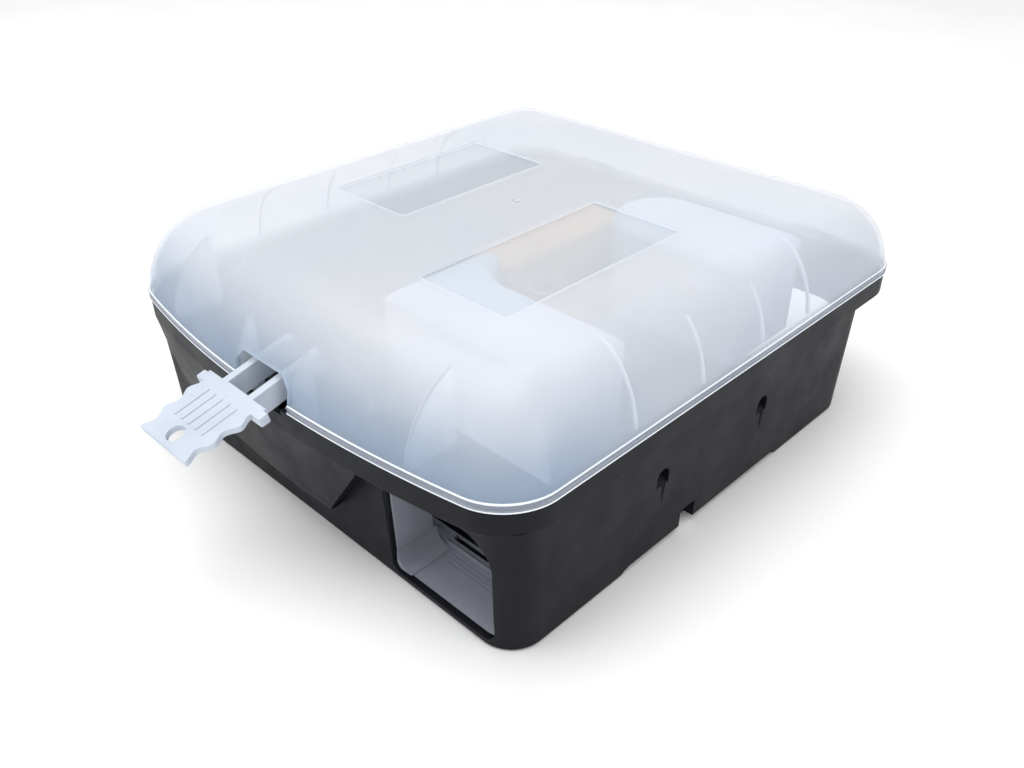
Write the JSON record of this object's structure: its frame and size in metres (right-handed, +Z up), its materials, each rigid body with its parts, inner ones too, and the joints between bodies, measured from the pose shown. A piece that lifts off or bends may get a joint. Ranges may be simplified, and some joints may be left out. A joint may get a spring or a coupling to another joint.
{
  "type": "rodent bait station",
  "caption": "Low tub with a domed translucent lid, side entrances, baited wire rods and a tray, opened by a forked key that presses back sprung latches.",
  "frame": {"origin": "middle of the flat underside of the tub, at floor level", "axes": "+Z up; -Y is the front, where the key goes in; +Y is the hinge side; +X is the wall side, nearest the two entrances"},
  "size_m": [0.278, 0.3715, 0.1192],
  "materials": {
    "tub_plastic": "black polypropylene, lightly textured moulding",
    "lid_plastic": "natural polypropylene, frosted and translucent",
    "key_plastic": "natural polypropylene, satin and translucent",
    "insert_plastic": "natural polypropylene, thin moulded inserts",
    "lock_plastic": "black acetal, satin",
    "zinc_steel": "bright zinc plate",
    "wax_bait": "cast paraffin wax with grain"
  },
  "bodies": {
    "station": {"base_tub": "tub_plastic", "lock_housing": "lock_plastic", "lock_screw_left": "zinc_steel", "lock_screw_right": "zinc_steel", "latch_spring_left": "zinc_steel", "latch_spring_right": "zinc_steel", "hinge_pin_left": "zinc_steel", "hinge_pin_right": "zinc_steel", "entry_liner_front": "insert_plastic", "entry_liner_rear": "insert_plastic", "passage_cover_front": "insert_plastic", "passage_cover_rear": "insert_plastic", "rod_rack": "lock_plastic", "bait_rod_1": "zinc_steel", "bait_rod_2": "zinc_steel", "bait_block_1": "wax_bait", "bait_block_2": "wax_bait", "bait_block_3": "wax_bait", "bait_block_4": "wax_bait", "bait_block_5": "wax_bait", "bait_block_6": "wax_bait", "bait_tray": "tub_plastic"},
    "lid": {"lid": "lid_plastic"},
    "key": {"key": "key_plastic"},
    "latch_left": {"latch_left": "lock_plastic"},
    "latch_right": {"latch_right": "lock_plastic"}
  },
  "joints": [
    {"name": "lid_hinge", "type": "hinge", "parent": "station", "child": "lid", "pos_m": [0, 0.155, 0.0735], "axis": [-1, 0, 0], "range_deg": [0, 100]},
    {"name": "key_slide", "type": "slide", "parent": "station", "child": "key", "axis": [0, -0.9703, -0.2419], "range_m": [0, 0.04]},
    {"name": "latch_left_slide", "type": "slide", "parent": "station", "child": "latch_left", "axis": [0, -1, 0], "range_m": [0, 0.006], "stiffness_N_per_m": 100, "springref_m": 0.015},
    {"name": "latch_right_slide", "type": "slide", "parent": "station", "child": "latch_right", "axis": [0, -1, 0], "range_m": [0, 0.006], "stiffness_N_per_m": 100, "springref_m": 0.015}
  ],
  "couplings": [
    {"joint": "latch_left_slide", "follows": "key_slide", "ratio": 0.15},
    {"joint": "latch_right_slide", "follows": "key_slide", "ratio": 0.15}
  ]
}
